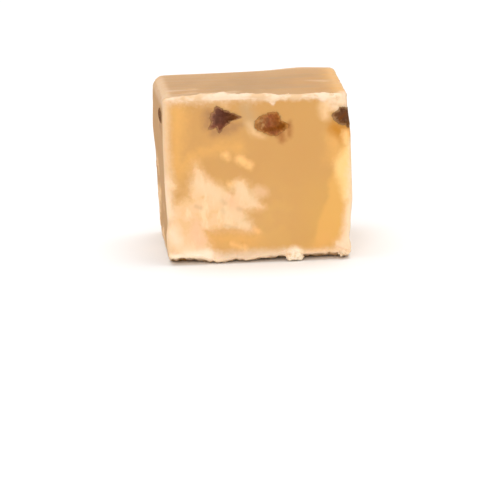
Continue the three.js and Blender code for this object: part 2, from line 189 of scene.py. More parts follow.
marks = {
    "smear": {  # torn, recrystallised sugar
        "ragged": (0.4, 1.3), "wilder": 2.4,  # so many times as ragged away from the front
        "front": [
            (-10, 16.2, -9.4, 12.6, 0.3, 1.3), (-9.4, 12.4, -6.9, 11.5, 1.5),
            (-6.9, 11.2, -4.4, 9.8, 1.5), (-10, 12.6, -9.8, 10.4, 1.2), (-2.9, 12.4, -2.5, 10.4, 1.1, 1.6),
            (-2.6, 10.4, 0.4, 9.1, 1.3, 0.1), (-11.4, 8.6, -4.6, 8, 2.2), (-9, 6.6, -2, 6, 0.9, 0.6),
            (-12.9, 9.2, -12.6, 5.4, 1, 2.1), (-12.7, 5.4, -12, 2.8, 2), (-11.2, 6, -10.4, 2.8, 1.7, 2.1),
            (-11.4, 1.9, -8.4, 1.4, 1.2, 0.7), (-14.4, 13.6, -13.5, 12.8, 0.5, 0.3),
            (12.8, 2.4, 14.6, 2, 0.3, 1)],
        "right": [(-9, 3, -3, 8.5, 2, 1.4), (-3.5, 8, 2.5, 9.8, 1.5, 0.4), (-12.5, 2, -8, 4, 1.2, 1.9),
            (4, 13.5, 7.5, 14.6, 0.5, 0.9), (-4, 3.5, 1, 2.2, 1, 0.5)],
        "back": [(2, 4, 9.5, 9.5, 1.3, 2.1), (8.5, 9, 13.5, 12, 2, 1.3), (5, 4.5, 12.5, 4, 1.4, 2.2),
            (9, 11, 10.5, 14.5, 0.9, 0.3), (-4.5, 12.5, -1, 13.6, 0.4, 0.8),
            (-13.5, 2, -8.5, 1.8, 1.2, 0.6)],
        "left": [(-13.5, 3, -8, 7.5, 1.6, 1.9), (-8.5, 7, -2.5, 9.4, 1.6, 0.5), (-3, 2.4, 3.5, 3, 0.6, 1.1),
            (-8, 14, -4.5, 12.6, 0.4, 0.9)],
    },
    "thin": {  # where the sugar only starts to show through
        "ragged": (0.45, 1.2),
        "front": [(-5.1, 17.7, -4.9, 17.5, 0.45, 0.4), (-2.9, 17.1, -1.3, 16, 0.6, 0.5),
            (-4.6, 3.2, -2.7, 2.3, 0, 0.35), (-4.6, 13, -2.9, 13, 0.3, 0.4), (-0.9, 5.6, -0.3, 5, 0.2),
            (14.4, 20.8, 14.1, 19.6, 0.3, 0.4)],
        "right": [(6, 8, 8, 7.2, 0.5, 0.4), (-1, 14.5, 1, 15.1, 0.3, 0.5)],
        "back": [(-8, 8, -6.5, 9, 0.5, 0.4), (1.5, 15, 3, 14.4, 0.3, 0.5)],
        "left": [(-2, 9, -0.5, 9.8, 0.5, 0.4)],
    },
    "pink": {  # butter and sugar, mixed
        "ragged": (0.4, 1.1), "front": [(-0.1, 11.8, 0.8, 11.5, 0.8), (-8.9, 15, -7.8, 13.6, 0.3, 0.5)],
        "right": [(2.5, 10.4, 4, 10.6, 0.4, 0.6)], "back": [(1, 6, 2.5, 6.6, 0.4, 0.5)],
        "left": [(4, 7.5, 5, 8, 0.4, 0.5)],
    },
    "warm": {  # richer, less grained fudge
        "ragged": (0.8, 3.0),
        "front": [(-12.6, 25.2, -12.9, 16.5, 0.9), (-12.8, 15.5, -10.8, 17.5, 0.6, 0.9),
            (-8.2, 4.4, -0.5, 3.6, 1.1, 0.8), (9.4, 1.8, 10.6, 3, 0.5, 0.8), (-3, 19, -9, 18.6, 0.2, 0.4),
            (12.6, 19.6, 12.4, 17, 1.2, 1)],
        "top": [(14.4, -13, 14.8, 12, 1, 1.2)],
        "right": [(-11, 24, -11.5, 16, 1), (3, 4, 10, 3, 1), (9, 15, 12, 10, 1, 1.2)],
        "back": [(-12, 22, -12, 14, 1), (-6, 4, 0, 3, 1), (12, 24, 12, 17, 0.9, 1.1)],
    },
    "paintedHighlight": {  # painted highlight along the edge of the facet
        "ragged": (0.35, 1.6),
        "front": [(14.7, 18.8, 13.7, 15.6, 0.3, 1.5), (13.7, 15.6, 14.2, 10.5, 1.5, 0.9),
            (14.6, 10.5, 14.9, 6, 0.6, 0.4), (14.1, 20.6, 14.3, 19.2, 0.35, 0.5)],
        "back": [(13.6, 15, 14, 9, 0.5, 0.9)],
    },
    "peach": {  # rubbed upright edges
        "ragged": (0.35, 2.5), "front": [(-15.4, 27, -15.4, 15, 1.35), (-15.4, 15, -15.4, 0, 1.5, 1.7)],
        "right": [(15.4, 27, 15.4, 0, 0.9, 1.3)],
        "back": [(-15.4, 27, -15.4, 0, 0.9, 1.3), (15.4, 27, 15.4, 0, 0.8, 1.2)],
        "left": [(-15.4, 27, -15.4, 0, 0.8, 1.2)],
    },
    "paintedGlow": {  # painted glow: warm light through the thin fudge beside a raisin
        "ragged": (0.3, 1.4),
        "front": [(12.7, 21.4, 14.1, 20.2, 1, 1.2), (13.6, 21.4, 14.6, 21, 0.8, 0.9)],
        "right": [(7.5, 20, 8, 19.6, 0.1, 0.3)],
        "back": [(-4.6, 21.4, -4.2, 20.8, 0.2, 0.3), (6.8, 19.4, 7.2, 19.2, 0.1, 0.2)],
        "left": [(12.5, 21.8, 13.2, 21.4, 0.1, 0.2)],
    },
    "juice": {  # raisin juice that has dried into the fudge, beside a raisin
        "ragged": (0.3, 1.1), "front": [(5.4, 22.7, 5.2, 21.7, 0.25, 0.3), (3.7, 21.2, 4.1, 20, 0.7, 0.5),
            (5.3, 21.4, 5.2, 20.6, 0.3, 0.2)],
        "right": [(8.6, 22.4, 8.8, 21.2, 0.2, 0.3)], "back": [(-3.9, 24.2, -3.7, 23.2, 0.2)],
    },
    "paintedRaisinShade": {  # painted shade: the fudge darkened beside the raisins, where a raisin lies just under the cut
        "ragged": (0.35, 1.6),
        "front": [(-7.6, 24.5, -7.9, 22.6, 0.8, 0.6), (-6.8, 21.5, -3.6, 22.1, 0.6, 0.5),
            (-3.9, 22.5, -2.3, 22.7, 0.5, 0.2), (13.4, 24.7, 14.4, 24.9, 0.4, 0.3)],
        "right": [(4, 20.6, 6.5, 20.4, 0.2, 0.3)],
        "back": [(-8.4, 21.6, -6.8, 21.4, 0.3, 0.4), (5, 19.8, 6.2, 19.8, 0.1, 0.2)],
        "left": [(6, 21.8, 9.5, 21.6, 0.1, 0.2)],
    },
    "speck": {  # duller spots in the smear
        "ragged": (0.2, 0.7),
        "front": [(-5.9, 10.4, -5.6, 10, 0.3), (-10.2, 9.6, -9.6, 9.3, 0.25), (-3.5, 9, -3, 8.8, 0.2, 0.25),
            (-5.6, 6.2, -3.9, 5.9, 0.15), (-6, 8.9, -5.8, 8.5, 0.25, 0.2)],
        "right": [(-6.4, 5.6, -5.9, 5.2, 0.2)], "back": [(8, 7.4, 8.3, 6.9, 0.2)],
        "left": [(-10.4, 5.4, -10, 5, 0.2)],
    },
    "milky": {  # a little paler than the rest of the cut
        "ragged": (0.4, 2.0), "front": [(-1.6, 25, -0.9, 23.4, 0.9, 0.8)], "back": [(1, 24, 2, 22, 0.8)],
    },
    "milk": {  # paler patches in the smear
        "ragged": (0.5, 1.2),
        "front": [(-9.8, 13.4, -6.8, 11.2, 0.9, 1), (-3.4, 12.4, -1.4, 10.2, 0.7, 1),
            (-5.2, 8.4, -2.4, 6.4, 0.8), (-14.2, 4.6, -12.4, 2.6, 0.8, 1.2)],
        "right": [(-7, 5.4, -4, 7.4, 0.7)], "back": [(6, 6.8, 8.6, 8.8, 0.7, 0.9)],
        "left": [(-10.6, 5.2, -8.8, 6.4, 0.7, 0.8)],
    },
    "halo": {  # pale, dried fudge that has drawn away from a raisin
        "ragged": (0.3, 1.0),
        "front": [(-1.1, 22.7, -0.5, 21.5, 0.35, 0.45), (-0.2, 21.1, 1, 20.5, 0.25, 0.05),
            (-5.3, 26, -4.8, 25.7, 0), (11.4, 25.3, 11.2, 23.8, 0.95, 0.7), (12, 24.6, 13, 24.9, 0.3, 0.4)],
        "right": [(3.4, 23.6, 5, 24.3, 0.1, 0.3)],
        "back": [(8.4, 22.6, 8.2, 20.6, 0.2, 0.3), (-9.9, 22, -9.6, 23.4, 0.2)],
        "left": [(3.4, 22.6, 4.2, 21.8, 0.2)],
    },
    "pale": {  # dried streaks on the top
        "ragged": (0.2, 1.0), "top": [(-15, -12.5, -14.8, 10, 1.1, 0.6), (-13, -6, -9.5, -4.6, 1, 0.6),
            (-13, -12.6, -9.5, -12.6, 0.7, 0.4), (-12, -9.6, -9.8, -8.6, 0.5, 0.4),
            (-7.2, -10.2, -3, -9.4, 0.3, 0.6), (9.8, 0.4, 12.2, -1.1, 0.2, 0.6),
            (-9, 13.5, -3, 14.2, 0.3, 0.4)],
    },
    "dull": {  # and the duller ones between them
        "ragged": (0.2, 1.0), "top": [(-11.5, -11.2, -7.5, -10.6, 0.4, 0.6), (-12, 1, -9, 3, 0.6, 0.8),
            (4.5, 4.5, 9.5, 6.5, 1.6, 2), (2, -7, 9, -6.4, 0.8, 1.4)],
    },
    "cream": {  # thick sugar along the right and the base
        "ragged": (0.3, 1.6),
        "front": [(15.5, 19, 15.4, 9, 0.7, 1.4), (15.4, 9, 15.2, 4, 1.4), (15.2, 4, 14.6, 1, 1.4, 2.2),
            (-15, 0.4, -8, 0.4, 1.35), (4.5, 0.4, 15, 0.4, 1.25), (-14.2, 5.6, -13.6, 4.2, 0.8),
            (-11.8, 1.9, -9, 1.6, 0.7, 1), (-15.4, 13.4, -15.4, 8.8, 1, 1.3),
            (12.2, 26, 15.2, 25.7, 0.5, 0.9), (12.6, 25.2, 14, 24.6, 0.3)],
        "right": [(-15, 0.2, 15, 0.2, 0.9), (-15.4, 26.6, -13, 27.2, 1.6, 0.6)],
        "back": [(-15, 0.2, 15, 0.2, 0.9)], "left": [(-15, 0.2, 15, 0.2, 0.7)],
        "top": [(14.6, -14.4, 14.8, -12.6, 0.9, 0.3)],
    },
    "crumbly": {  # and the same where it is mixed with the fudge
        "ragged": (0.3, 1.2), "front": [(-8.2, 0.5, 4.6, 0.7, 1.35)],
    },
    "rosy": {  # the smear where the fudge shows through it
        "ragged": (0.4, 1.2),
        "front": [(-10.6, 6.6, -10, 4, 0.7, 0.9), (-4.9, 10.8, -4.4, 9.8, 0.3, 0.4)],
        "back": [(10, 8.6, 11, 7, 0.5, 0.7)],
    },
    "white": {  # the driest sugar
        "ragged": (0.2, 0.8),
        "front": [(5.7, 0.5, 5.7, 1.3, 1.35, 1.15), (-14.4, 1.5, -8.6, 1.7, 0.3, 0.7)],
    },
}


farFromMark = -3.0  # a mark's distance where it has no stroke near


def strokeReach(across, up, strokes):  # the most that (half width - distance to a stroke's line) comes to
    reach = np.full(len(across), farFromMark)
    for x0, z0, x1, z1, *widths in strokes:
        line = np.array([x1 - x0, z1 - z0])
        t = np.clip(((across - x0) * line[0] + (up - z0) * line[1]) / (line @ line), 0, 1)
        away = np.hypot(across - x0 - t * line[0], up - z0 - t * line[1])
        reach = np.maximum(reach, widths[0] + (widths[-1] - widths[0]) * t - away)
    return reach


def buried(inside):  # 4 times a smooth step just below a side: its marks end there
    return 4 * smooth(0.5, 1.1, inside)


def strokeDistance(points, name):
    # for each side: the reach of its strokes, made uneven by grain, less how buried the point is under
    # that side; the largest side wins
    mark = marks[name]
    ragged, cell = mark["ragged"]
    uneven = ragged * cragginess(points, cell, 7)
    result = np.full(len(points), farFromMark)
    for side in [*sideTurn, "top"]:
        across, up, inside = onSide(points, side)
        reach = strokeReach(across, up, mark.get(side, []))
        wilder = 1 if side == "front" else mark.get("wilder", 1)
        result = np.maximum(result, reach + wilder * uneven - buried(inside))
    return result


tornSugar = {"height": 0.12, "border": 0.16, "grain": 0.05, "grainCell": 0.8}  # the smears' relief


def tornRelief(points):  # a soft step where the smear is, of its height + grain
    grained = tornSugar["height"] + tornSugar["grain"] * cragginess(points, tornSugar["grainCell"], 41)
    return smooth(-tornSugar["border"], tornSugar["border"], strokeDistance(points, "smear")) * grained


sugarLip = {  # the crumbly rim that the knife leaves
    "height": 0.28,
    "cell": 1.1,  # of the grain that makes it uneven
    "topBand": (0.55, 0.95),  # how far it comes down the front, on the left and on the right
    "crustBand": (-0.9, 0.4),  # and how far its dry crust does, before it fades out
    "crustFade": (1.9, 0.6),
    "crustBase": (0.65, 0.35, 0.5, 1.3, 0.4),  # at the base: share + uneven, its fade's begin, end and ragged
    "wandering": 0.15, "waveLength": 5.3, "ragged": 0.3,  # of both bands
    "drips": [(-3.0, -0.45, 0.8), (2.8, 0.75, 0.4), (10.9, 0.35, 0.8), (13.9, 0.7, 1.1)],  # x, drop, spread
    "edges": {  # share of its height, where its fade begins and ends, wandering, wave length, start, ragged
        "left": (0.5, 0.5, 1.3, 0.3, 7.1, 2, 0), "right": (0.6, 0.4, 1.2, 0.4, 6.3, 4, 0),
        "base": (0.7, 0.6, 1.4, 0.4, 4.7, 1, 0.3), "side": (0.5, 0.5, 1.0, 0.3, 4.9, 5, 0.4),
    },
    "cragCell": 1.1, "cragHeight": 0.14, "sideCrags": 0.12,
    "baseCrags": 0.1, "baseCragCell": 0.7, "baseCragsUpTo": 1.3,
}


def leftToRight(pair, x):  # first + (second - first) smooth(-1, 2, x)
    return pair[0] + (pair[1] - pair[0]) * smooth(-1, 2, x)


def lipBand(name, x, uneven):  # how far down the front it comes: its band, wandering and ragged, + its drips
    band = leftToRight(sugarLip[name], x) + sugarLip["wandering"] * wander(x, sugarLip["waveLength"])
    band = band + sugarLip["ragged"] * uneven
    for at, drop, spread in sugarLip["drips"]:
        band = band + drop * bell(x - at, spread)
    return band


def lipEdge(name, away, along, uneven):  # share (1 - smooth(begin, end, distance from that edge))
    share, begin, end, wandering, waveLength, start, ragged = sugarLip["edges"][name]
    end = end + wandering * wander(along, waveLength, start) + ragged * uneven
    return share * (1 - smooth(begin, end, away))


def lipOnFront(x, z, uneven):  # the largest of its four edges' lips
    band = lipBand("topBand", x, uneven)
    return np.max([
        1 - smooth(0.6 * band, band, height - z),
        lipEdge("left", x + halfWidth, z, uneven),
        lipEdge("right", halfWidth - x, z, uneven),
        lipEdge("base", z, x, uneven),
    ], axis=0)


def crustOnFront(x, z, uneven):
    # how much dry crust shows: a bell of the distance past its band at the top, and at the base
    # (share + uneven) (1 - smooth(begin, end + ragged, height above it)); the larger wins
    past = np.clip(height - z - lipBand("crustBand", x, uneven), 0, None)
    atTop = bell(past, leftToRight(sugarLip["crustFade"], x))
    share, varied, begin, end, ragged = sugarLip["crustBase"]
    atBase = (share + varied * uneven) * (1 - smooth(begin, end + ragged * uneven, z))
    return np.maximum(atTop, atBase)


facet = {  # shallow plane, front right; its colour is painted light, lighter as if it faced the lamp
    "foot": 7.7, "lean": 0.286, "slope": 0.09, "top": 19, "fade": 3,
    "shownFrom": 2.6,  # its painted light does not reach down to the base
    "border": (-0.3, 0.8), "ragged": 0.8, "cell": 2.6,  # of its painted light
}


def pastFacet(x, z):  # how far right of the facet's leaning border: x - foot - lean z
    return x - facet["foot"] - facet["lean"] * z


knifeCut = {
    "frontGrain": 0.02, "frontCell": 2.2,
    "waves": 0.07, "waveLength": 8.3, "slant": 0.1, "start": 2,  # on the other sides
    "drag": 0.02, "dragCell": 0.8, "dragStretch": 0.15,
}


def frontRelief(points):
    # lip + its crags and the base's + smear - facet + a fine knife texture
    x, z = points[:, 0], points[:, 2]
    lip = lipOnFront(x, z, cragginess(points, sugarLip["cell"], 21))
    crags = sugarLip["cragHeight"] * lip**2 * cragginess(points, sugarLip["cragCell"], 31)
    atBase = bell(z, sugarLip["baseCragsUpTo"]) * cragginess(points, sugarLip["baseCragCell"], 131)
    crags = crags + sugarLip["baseCrags"] * atBase
    drop = facet["slope"] * np.clip(pastFacet(x, z), 0, None)
    drop = drop * (1 - smooth(facet["top"] - facet["fade"], facet["top"], z))
    texture = knifeCut["frontGrain"] * cragginess(points, knifeCut["frontCell"], 51)
    return sugarLip["height"] * lip + crags + tornRelief(points) - drop + texture


topFace = {
    "crest": {"rise": 0.7, "least": 0.14, "x": -6, "spread": 6, "breadth": 1.1, "fullFrom": -11},
    "wandering": 0.1, "wanderLength": 3.9,  # of the crest's height
    "bumps": 0.28, "bumpCell": 1.8,  # and lumps along it
    "backRise": {"rise": 0.3, "x": 9, "spread": 4, "breadth": 3},
    "scrapes": [  # x, y, long, broad, deep
        (-9.5, -4.6, 3.2, 0.9, 0.2), (-11.8, -8.8, 2.2, 0.8, 0.16), (11.5, 1.0, 2.6, 0.5, 0.07)],
    "waves": 0.09, "waveLength": 9.5, "slant": 0.08,  # left by the blade that spread it
}


def topRelief(points):
    # blade waves from side to side + the crest at the front + a swell at the back - scrapes
    x, y = points[:, 0], points[:, 1]
    crest, back = topFace["crest"], topFace["backRise"]
    rise = crest["rise"] * bell(x - crest["x"], crest["spread"]) + crest["least"]
    rise = rise + topFace["wandering"] * wander(x, topFace["wanderLength"], 3)
    rise = rise + topFace["bumps"] * cragginess(points * np.array([1, 0, 0]), topFace["bumpCell"], 63)
    atFront = bell(y + halfDepth, crest["breadth"]) * smooth(-halfWidth, crest["fullFrom"], x)
    crags = sugarLip["cragHeight"] * atFront * cragginess(points, sugarLip["cragCell"], 61)
    waves = topFace["waves"] * wander(y + topFace["slant"] * x, topFace["waveLength"])
    result = waves + rise * atFront + crags
    atBack = bell(y - halfDepth, back["breadth"])
    result = result + back["rise"] * bell(x - back["x"], back["spread"]) * atBack
    for atX, atY, long, broad, deep in topFace["scrapes"]:
        result = result - deep * bell(x - atX, long) * bell(y - atY, broad)
    return result


def sideRelief(points, side):  # knife waves + a fine drag that runs down the cut + lip and its crags + smear
    across, up, _ = onSide(points, side)
    lip = lipEdge("side", height - up, across, cragginess(points, sugarLip["cell"], 91))
    stretched = np.stack([across, knifeCut["dragStretch"] * up, 0 * up], 1)
    drag = knifeCut["drag"] * cragginess(stretched, knifeCut["dragCell"], 101)
    slanted = across + knifeCut["slant"] * up
    waves = knifeCut["waves"] * wander(slanted, knifeCut["waveLength"], knifeCut["start"])
    crags = sugarLip["sideCrags"] * lip * cragginess(points, sugarLip["cragCell"], 111)
    return waves + drag + sugarLip["height"] * lip + crags + tornRelief(points)


def relief(points, facing):  # each side's relief times the square of how much the surface faces that way
    share = {"front": -facing[:, 1], "right": facing[:, 0], "back": facing[:, 1], "left": -facing[:, 0]}
    total = np.clip(facing[:, 2], 0, None) ** 2 * topRelief(points)
    for side, amount in share.items():
        shown = np.clip(amount, 0, None) ** 2
        total = total + shown * (frontRelief(points) if side == "front" else sideRelief(points, side))
    return total


def underLift(points):  # lift + arches + crags, faded out backwards and upwards
    edge = fudgeBlock["underLift"] + sum(
        rise * bell(points[:, 0] - at, spread) for at, rise, spread in fudgeBlock["arches"])
    ragged = cragginess(points * np.array([1, 0.3, 0]), fudgeBlock["underCell"], 121)
    edge = edge + fudgeBlock["underRagged"] * ragged
    nearFront = 1 - smooth(0, fudgeBlock["underRamp"] * edge, points[:, 1] + halfDepth)
    return edge * nearFront * (1 - smooth(0, fudgeBlock["underRise"] * edge, points[:, 2]))


def boxGrid(cells):
    # every lattice point on the outside of a box of cells, from 0 to 1, and the squares between them
    lattices, squares, count = [], [], 0
    for axis in range(3):
        for end in (0, 1):
            u, v = [a for a in range(3) if a != axis]
            i, j = np.meshgrid(np.arange(cells[u] + 1), np.arange(cells[v] + 1), indexing="ij")
            lattice = np.zeros(i.shape + (3,), int)
            lattice[..., u], lattice[..., v], lattice[..., axis] = i, j, end * cells[axis]
            n = count + np.arange(i.size).reshape(i.shape)
            square = np.stack([n[:-1, :-1], n[1:, :-1], n[1:, 1:], n[:-1, 1:]], -1).reshape(-1, 4)
            squares.append(square if (end == 1) != (axis == 1) else square[:, ::-1])  # facing out
            lattices.append(lattice.reshape(-1, 3))
            count += i.size
    corners, sameAs = np.unique(np.concatenate(lattices), axis=0, return_inverse=True)
    return corners / np.array(cells), sameAs.reshape(-1)[np.concatenate(squares)]


def blockSurface():
    # the box's points crowded towards its edges, put on the rounded box, moved out by the relief, warped
    unit, squares = boxGrid(fudgeBlock["cells"])
    t = 2 * unit - 1
    t = (1 - fudgeBlock["crowding"]) * t + fudgeBlock["crowding"] * np.sin(t * np.pi / 2)
    onBox = np.stack([t[:, 0] * halfWidth, t[:, 1] * halfDepth, (t[:, 2] + 1) / 2 * height], 1)
    core, radius = coreOf(onBox)
    facing = onBox - core
    facing /= np.linalg.norm(facing, axis=1)[:, None]
    place = core + facing * radius
    lift = underLift(place)
    place = place + facing * relief(place, facing)[:, None]
    place[:, 2] += lift
    place = warp(place)
    place[:, 2] = np.clip(place[:, 2], 0, None)
    return place, squares


def ballGrid(around, across):
    # unit sphere: (cos a sin b, -cos b, sin a sin b) on a grid with a pole at each end, quads and end fans
    a = np.arange(around) * 2 * np.pi / around
    b = np.linspace(0, np.pi, across + 1)[1:-1]
    ring = np.stack([np.cos(a)[None] * np.sin(b)[:, None], np.tile(-np.cos(b)[:, None], around),
                     np.sin(a)[None] * np.sin(b)[:, None]], -1)
    points = np.concatenate([ring.reshape(-1, 3), [[0, -1, 0], [0, 1, 0]]])
    n = np.arange((across - 1) * around).reshape(across - 1, around)
    right = np.roll(n, -1, axis=1)
    faces = np.stack([n[:-1], n[1:], right[1:], right[:-1]], -1).reshape(-1, 4).tolist()
    faces += [[n.size, p, q] for p, q in zip(n[0], right[0])]
    faces += [[n.size + 1, q, p] for p, q in zip(n[-1], right[-1])]
    return points, faces


def addObject(name, data):
    added = bpy.data.objects.new(name, data)
    bpy.context.scene.collection.objects.link(added)
    return added


def meshObject(name, points, faces):  # the points are in mm, in the block's own frame
    mesh = bpy.data.meshes.new(name)
    mesh.from_pydata(((points + toOrigin) * mm).tolist(), [], faces)
    mesh.update()
    mesh.shade_smooth()
    return addObject(name, mesh)


def pointsOf(piece):  # back to mm in the block's own frame
    flat = np.empty(len(piece.data.vertices) * 3)
    piece.data.vertices.foreach_get("co", flat)
    return flat.reshape(-1, 3) / mm - toOrigin


def setAttributes(piece, shares):  # a number at each point, under each name
    for name, values in shares.items():
        attribute = piece.data.attributes.new(name, "FLOAT", "POINT")
        attribute.data.foreach_set("value", np.asarray(values, np.float32))


def combine(piece, tool, how):  # joins or cuts piece with tool, for good, and removes the tool
    modifier = piece.modifiers.new(how, "BOOLEAN")
    modifier.operation, modifier.object, modifier.solver = how, tool, "MANIFOLD"
    old = piece.data
    depsgraph = bpy.context.evaluated_depsgraph_get()
    piece.data = bpy.data.meshes.new_from_object(piece.evaluated_get(depsgraph))
    piece.modifiers.clear()
    bpy.data.meshes.remove(old)
    bpy.data.meshes.remove(tool.data)


# Raisins. at is the middle on the side that cuts them, size half the length and half the height before
# the turn, and a lobe (direction, reach, breadth), in degrees and mm. A raisin's three colours run along
# it, with flecks of paler pulp as far as fleckedUpTo of its length.

raisinShape = {
    "grid": (144, 56), "pocketGrid": (72, 24),
    "pocketGap": 0.05, "pocketMouth": 1.5,
    "foldDepth": 0.32, "foldCell": 0.9, "fineFolds": 0.3, "fineFoldCell": 0.35,
    "notches": 0.045, "notchTurns": (11, 17, 29),  # of the torn outline, mm and how many all round
    "creaseDepth": 0.12, "creaseRagged": 0.12, "creaseCell": 0.5,
}
raisins = {
    "raisin_front_left": {
        "side": "front", "at": (-5.35, 23.7), "size": (1.2, 1.55), "turn": -60, "deep": 2.6, "proud": 0.1,
        "lobes": [(2, 1.45, 10), (17, 0.5, 13), (117, 1, 22),
                  (166, 0.75, 28), (215, 1.2, 13), (254, 1, 15)],
        "colours": ("#855846", "#5a3224", "#72421a"), "low": "#804a34", "rim": ("#b08058", 0.7),
        "fleck": "#8d5f4a", "fleckedUpTo": 0.2,
    },
    "raisin_front_middle": {
        "side": "front", "at": (2.35, 22.4), "size": (1.95, 1.55), "turn": -48, "deep": 2.4, "proud": 0.1,
        "lobes": [(357, 1.15, 17), (58, 0.7, 26), (90, 0.15, 12),
                  (150, 0.25, 18), (184, 0.95, 28), (334, 0.2, 13)],
        "colours": ("#a5703e", "#9a5734", "#94560e"), "low": "#9c5c36", "rim": ("#bf8448", 0.75),
        "fleck": "#c4905c", "fleckedUpTo": 0.3, "creases": [(1.4, 21.6, 4.3, 22, 0.3, 0.25)],
    },
    "raisin_right_edge": {
        "side": "front", "at": (14.9, 23.4), "size": (1.6, 1.05), "turn": 39, "deep": 4.1, "proud": 0.05,
        "lobes": [(175, 1.3, 26), (126, 0.8, 25), (215, 0.3, 22), (264, 0.6, 14)],
        "colours": ("#744a2a", "#66412a", "#6c4832"), "low": "#74491f", "rim": ("#a98058", 0.75),
        "fleck": "#8a6444", "fleckedUpTo": 0.5, "creases": [(13.6, 23, 14.6, 23.9, 0.1, 0.05)],
    },
    "raisin_left_side": {
        "side": "left", "at": (8, 23.6), "size": (4.2, 0.9), "turn": -2, "deep": 1.9, "proud": 0.3,
        "lobes": [(70, 0.15, 20), (150, 0.3, 14), (250, 0.15, 18), (330, 0.35, 14)],
        "colours": ("#7a5230", "#74482a", "#7e5632"), "low": "#80583a", "rim": ("#9a744c", 0.6),
        "fleck": "#9a724a", "fleckedUpTo": 0.6,
    },
    "raisin_right_side": {
        "side": "right", "at": (5.4, 22.2), "size": (2.9, 1.6), "turn": -14, "deep": 2.5, "proud": 0.15,
        "lobes": [(20, 0.6, 15), (95, 0.35, 20), (160, 0.45, 16), (235, 0.4, 18), (300, 0.3, 16)],
        "colours": ("#56302a", "#4a261c", "#653e1a"), "low": "#5c3620", "rim": ("#85583c", 0.5),
        "fleck": "#8a6156", "fleckedUpTo": 0.35,
    },
    "raisin_back_left": {
        "side": "back", "at": (-6.9, 23.1), "size": (2.7, 1.5), "turn": 18, "deep": 2.6, "proud": 0.15,
        "lobes": [(0, 0.5, 14), (62, 0.35, 18), (140, 0.45, 16), (200, 0.6, 14), (285, 0.35, 18)],
        "colours": ("#4b2820", "#552c22", "#643b1a"), "low": "#5a3424", "rim": ("#7e5238", 0.5),
        "fleck": "#80564a", "fleckedUpTo": 0.3,
    },
    "raisin_back_right": {
        "side": "back", "at": (5.8, 21.7), "size": (1.9, 1.7), "turn": 0, "deep": 2.3, "proud": 0.1,
        "lobes": [(30, 0.8, 15), (110, 0.4, 18), (178, 0.7, 15), (255, 0.5, 18), (325, 0.3, 15)],
        "colours": ("#84552e", "#824426", "#78400e"), "low": "#8a5a30", "rim": ("#96683a", 0.5),
        "fleck": "#c59160", "fleckedUpTo": 0.4,
    },
}


def outline(raisin, direction):
    # long short / hypot(short cos d, long sin d), with d = direction - turn, + the lobes' bells + notches
    long, short = raisin["size"]
    own = np.radians(direction - raisin["turn"])
    reach = long * short / np.hypot(short * np.cos(own), long * np.sin(own))
    for towards, out, breadth in raisin["lobes"]:
        reach = reach + out * bell((direction - towards + 180) % 360 - 180, breadth)
    for turns in raisinShape["notchTurns"]:
        torn = np.sin(np.radians(turns * direction) + turns * raisin["deep"])
        reach = reach + raisinShape["notches"] * torn
    return reach


def raisinShell(raisin, grown, capHeight, grid):
    # a unit ball stretched to the outline sideways, to capHeight outwards and to the depth inwards
    ball, faces = ballGrid(*grid)
    direction = np.degrees(np.arctan2(ball[:, 2], ball[:, 0]))
    spread = np.hypot(ball[:, 0], ball[:, 2])
    reach = (outline(raisin, direction) + grown) * spread
    sideways = reach * np.cos(np.radians(direction)) + raisin["at"][0]
    up = reach * np.sin(np.radians(direction)) + raisin["at"][1]
    inwards = np.where(ball[:, 1] > 0, ball[:, 1] * (raisin["deep"] + grown), ball[:, 1] * capHeight)
    return sideways, up, inwards, spread, ball, faces


def fromSide(sideways, up, inwards, side):  # the reverse of onSide
    c, s = math.cos(math.radians(sideTurn[side])), math.sin(math.radians(sideTurn[side]))
    y = inwards - halfDepth
    return np.stack([sideways * c - y * s, sideways * s + y * c, up], 1)


def trimmed(points, proud):  # pulled back to where they stand out of the rounded block by proud at most
    core, radius = coreOf(points)
    out = points - core
    far = np.linalg.norm(out, axis=1)[:, None]
    return core + out * np.minimum(1, (radius + proud) / np.maximum(far, 1e-9))


def pocketTool(name, raisin):  # the raisin's shell, grown by the gap and with a tall cap, to cut with
    sideways, up, inwards, _, _, faces = raisinShell(
        raisin, raisinShape["pocketGap"], raisinShape["pocketMouth"], raisinShape["pocketGrid"])
    return meshObject(name + "_pocket", warp(fromSide(sideways, up, inwards, raisin["side"])), faces)


def raisinPiece(name, raisin):
    # the shell with its cap folded inwards by |grain|, which leaves ridges where the grain is near 0, and
    # by its creases
    shape = raisinShape
    sideways, up, inwards, spread, ball, faces = raisinShell(raisin, 0, raisin["proud"], shape["grid"])
    local = np.stack([sideways, up, inwards], 1)
    folds = np.abs(cragginess(local, shape["foldCell"], len(name)))
    folds = folds + shape["fineFolds"] * np.abs(cragginess(local, shape["fineFoldCell"], 5))
    cap = smooth(0.25, -0.1, ball[:, 1])  # 1 on the cut, 0 in the bowl behind it
    crease = strokeReach(sideways, up, raisin.get("creases", []))
    crease = crease + shape["creaseRagged"] * cragginess(local, shape["creaseCell"], 9)
    inwards = inwards + shape["foldDepth"] * folds * cap * (1 - 0.5 * smooth(0.85, 1, spread))
    inwards = inwards + shape["creaseDepth"] * cap * smooth(-0.3, 0.3, crease)
    placed = trimmed(fromSide(sideways, up, inwards, raisin["side"]), raisin["proud"])
    piece = meshObject(name + "_flesh", warp(placed), faces)
    shares = {
        "along": (sideways - sideways.min()) / (sideways.max() - sideways.min()),
        "rim": smooth(0.6, 1, spread) * cap + (1 - cap), "fold": np.clip(folds * 1.6, 0, 1),
        "crease": crease, "low": smooth(-0.5, -1.3, up - raisin["at"][1]),
    }
    setAttributes(piece, shares)
    return piece


